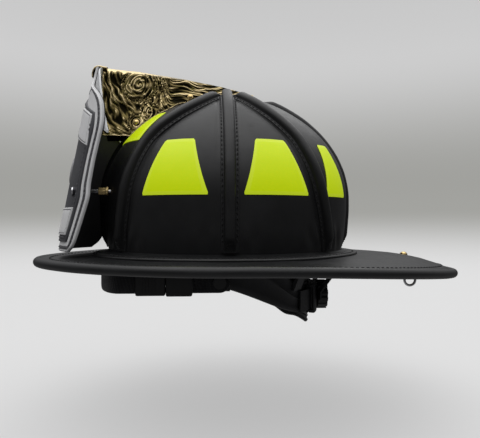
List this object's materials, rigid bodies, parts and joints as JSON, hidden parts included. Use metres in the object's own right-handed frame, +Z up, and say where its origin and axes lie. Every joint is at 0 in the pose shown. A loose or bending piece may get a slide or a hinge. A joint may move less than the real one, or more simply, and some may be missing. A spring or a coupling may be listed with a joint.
{
  "type": "firefighter helmet",
  "caption": "Traditional black leather fire helmet: ribbed dome, long rear brim, brass crest with front shield, reflective panels, adjustable headband and swinging chin strap.",
  "frame": {"origin": "centre of the head opening, level with the foot of the crown; the wearer's head comes in from below", "axes": "+Z up, -Y the front of the helmet (the shield side), +X the wearer's left; +Y runs along the long rear brim"},
  "size_m": [0.304, 0.3985, 0.2426],
  "materials": {
    "crown_leather": "satin black shell leather",
    "comb_leather": "satin",
    "welt_leather": "satin",
    "brim_leather": "satin",
    "wire_brass": "satin",
    "reflective_film": "gloss",
    "crest_brass": "antiqued",
    "rivet_brass": "polished",
    "shield_border_leather": "satin",
    "shield_field_leather": "matte",
    "shield_panel_leather": "satin",
    "shield_patch_leather": "satin",
    "backing_plate_metal": "satin",
    "post_steel": "satin",
    "anchor_metal": "satin black",
    "inner_shell_composite": "matte",
    "liner_foam": "matte",
    "webbing_grey": "matte",
    "moulded_plastic": "matte",
    "pad_leather": "matte",
    "nape_leather": "satin",
    "knob_plastic": "matte",
    "lap_fabric": "matte",
    "webbing_black": "matte",
    "buckle_plastic": "satin"
  },
  "bodies": {
    "helmet": {"crown_panel_1": "crown_leather", "crown_panel_2": "crown_leather", "crown_panel_3": "crown_leather", "crown_panel_4": "crown_leather", "crown_panel_5": "crown_leather", "crown_panel_6": "crown_leather", "crown_panel_7": "crown_leather", "crown_panel_8": "crown_leather", "crown_comb_1": "comb_leather", "crown_comb_2": "comb_leather", "crown_comb_3": "comb_leather", "crown_comb_4": "comb_leather", "crown_comb_5": "comb_leather", "crown_comb_6": "comb_leather", "crown_comb_7": "comb_leather", "crown_comb_8": "comb_leather", "crown_welt": "welt_leather", "brim": "brim_leather", "brim_wire": "wire_brass", "reflective_trapezoids": "reflective_film", "crest_holder": "crest_brass", "crest_rivets": "rivet_brass", "shield_base": "shield_border_leather", "shield_field": "shield_field_leather", "shield_top_panel": "shield_panel_leather", "shield_bottom_panel": "shield_panel_leather", "shield_centre_patch": "shield_patch_leather", "shield_backing_plate": "backing_plate_metal", "shield_posts": "post_steel", "shield_post_nuts": "rivet_brass", "inner_shell": "inner_shell_composite", "impact_liner": "liner_foam", "crown_strap_a": "webbing_grey", "crown_strap_b": "webbing_grey", "suspension_keys": "moulded_plastic", "headband": "moulded_plastic", "band_hangers": "moulded_plastic", "brow_pad": "pad_leather", "nape_pad": "nape_leather", "ratchet_base": "moulded_plastic", "ratchet_cover": "moulded_plastic", "chin_anchors": "anchor_metal", "ring_bracket": "rivet_brass", "ring_rivet": "rivet_brass"},
    "knob": {"ratchet_knob": "knob_plastic", "ratchet_pinion": "moulded_plastic"},
    "tail_left": {"band_tail_left": "moulded_plastic"},
    "tail_right": {"band_tail_right": "moulded_plastic"},
    "lap_left": {"ear_lap_left": "lap_fabric"},
    "lap_right": {"ear_lap_right": "lap_fabric"},
    "chin_left": {"chin_strap_left": "webbing_black", "buckle_socket": "buckle_plastic"},
    "chin_right": {"chin_strap_right": "webbing_black"},
    "plug": {"buckle_plug": "buckle_plastic"},
    "slide": {"postman_slide": "anchor_metal"},
    "ring": {"hang_ring": "post_steel"}
  },
  "joints": [
    {"name": "knob_spin", "type": "hinge", "parent": "helmet", "child": "knob", "pos_m": [0, 0.09, -0.045], "axis": [0, 1, 0], "range_deg": [-108, 108]},
    {"name": "tail_left_turn", "type": "hinge", "parent": "helmet", "child": "tail_left", "pos_m": [0, 0.011, -0.045], "axis": [0, 0, 1], "range_deg": [-9.4, 9.4]},
    {"name": "tail_right_turn", "type": "hinge", "parent": "helmet", "child": "tail_right", "pos_m": [0, 0.011, -0.045], "axis": [0, 0, 1], "range_deg": [-9.4, 9.4]},
    {"name": "ear_lap_left_drop", "type": "slide", "parent": "helmet", "child": "lap_left", "axis": [0, 0, -1], "range_m": [0, 0.052]},
    {"name": "ear_lap_right_drop", "type": "slide", "parent": "helmet", "child": "lap_right", "axis": [0, 0, -1], "range_m": [0, 0.052]},
    {"name": "chin_strap_swing", "type": "hinge", "parent": "helmet", "child": "chin_right", "pos_m": [0, -0.008, -0.021], "axis": [1, 0, 0], "range_deg": [0, 105]},
    {"name": "chin_strap_left_swing", "type": "hinge", "parent": "helmet", "child": "chin_left", "pos_m": [0, -0.008, -0.021], "axis": [1, 0, 0], "range_deg": [0, 105]},
    {"name": "buckle_unclip", "type": "slide", "parent": "chin_right", "child": "plug", "axis": [0, -1, 0], "range_m": [0, 0.013]},
    {"name": "strap_adjust", "type": "slide", "parent": "chin_right", "child": "slide", "axis": [0, 1, 0], "range_m": [-0.015, 0.015]},
    {"name": "ring_swing", "type": "hinge", "parent": "helmet", "child": "ring", "pos_m": [0, 0.182, -0.0226], "axis": [0, 1, 0], "range_deg": [-75, 75]}
  ],
  "couplings": [
    {"joint": "tail_left_turn", "follows": "knob_spin", "ratio": -0.08427},
    {"joint": "tail_right_turn", "follows": "knob_spin", "ratio": 0.082418},
    {"joint": "chin_strap_left_swing", "follows": "chin_strap_swing", "ratio": 1}
  ]
}
